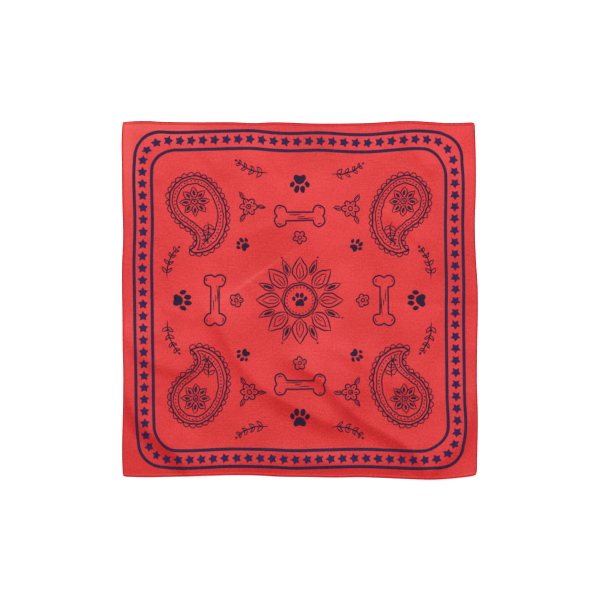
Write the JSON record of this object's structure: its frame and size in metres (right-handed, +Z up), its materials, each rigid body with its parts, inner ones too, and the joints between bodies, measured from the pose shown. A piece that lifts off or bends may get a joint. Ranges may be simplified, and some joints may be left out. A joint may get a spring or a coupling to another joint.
{
  "type": "dog scarf",
  "caption": "Square red cotton dog scarf laid flat, with narrow turned hems, soft folds and a navy printed star border.",
  "frame": {"origin": "middle of the scarf's outline, at the height of the surface that it lies on", "axes": "+Z up, out of the printed face; +Y towards the scarf's upper edge and +X towards its right edge, seen from above"},
  "size_m": [0.533, 0.5362, 0.0079],
  "materials": {
    "red_cotton": "printed plain-weave cotton, matt, slightly slubby",
    "red_hem": "the same cotton turned twice and stitched, matt",
    "navy_ink": "navy textile ink soaked into the cotton, matt",
    "red_thread": "spun sewing thread, soft sheen"
  },
  "bodies": {
    "root": {"panel": "red_cotton", "hem_top": "red_hem", "hem_bottom": "red_hem", "hem_left": "red_hem", "hem_right": "red_hem"}
  },
  "joints": []
}
